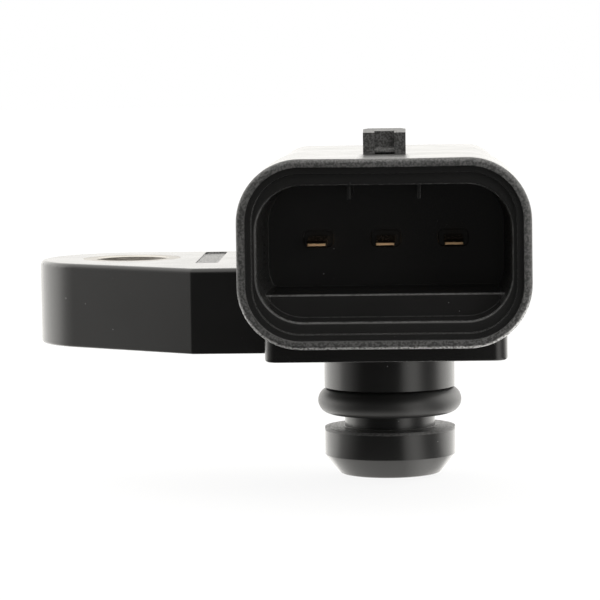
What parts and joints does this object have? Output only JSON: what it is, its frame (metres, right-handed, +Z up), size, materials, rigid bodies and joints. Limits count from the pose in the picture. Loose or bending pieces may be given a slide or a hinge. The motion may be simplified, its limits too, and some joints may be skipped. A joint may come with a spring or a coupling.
{
  "type": "fuel tank pressure sensor",
  "caption": "Plastic pressure sensor with an ear for one screw, an O-ring spigot below and a latched plug socket in front; it reads vapour pressure in a fuel tank.",
  "frame": {"origin": "on the spigot's axis, in the plane of the seating face that lies on the tank's flange", "axes": "+Z up along the spigot's axis into the body, -Y out of the plug socket's mouth, -X towards the mounting ear"},
  "size_m": [0.044, 0.0358, 0.0319],
  "materials": {
    "housing_plastic": "black glass-filled polyester, moulded, half gloss",
    "cover_plastic": "black polyester, half gloss",
    "bush_metal": "turned, zinc plated",
    "seal_rubber": "black fluorocarbon rubber, satin",
    "blade_metal": "stamped copper alloy",
    "board_ceramic": "white alumina",
    "adhesive": "cured silicone",
    "pedestal_glass": "ground borosilicate",
    "silicon": "polished silicon",
    "wire_metal": "bright gold wire",
    "dam_plastic": "moulded",
    "gel": "clear soft gel",
    "chip_plastic": "moulded epoxy",
    "capacitor_ceramic": "sintered, with tinned ends",
    "solder": "bright solder",
    "membrane": "white porous film"
  },
  "bodies": {
    "root": {"housing": "housing_plastic", "cover": "cover_plastic", "vent_membrane": "membrane", "mounting_bush": "bush_metal", "o_ring": "seal_rubber", "terminal_1": "blade_metal", "terminal_2": "blade_metal", "terminal_3": "blade_metal", "sealing_bead": "adhesive", "circuit_board": "board_ceramic", "glass_pedestal": "pedestal_glass", "pressure_die": "silicon", "bond_wires": "wire_metal", "gel_dam": "dam_plastic", "protective_gel": "gel", "signal_chip": "chip_plastic", "solder_joints": "solder", "capacitor_1": "capacitor_ceramic", "capacitor_2": "capacitor_ceramic", "capacitor_3": "capacitor_ceramic", "capacitor_4": "capacitor_ceramic"}
  },
  "joints": []
}
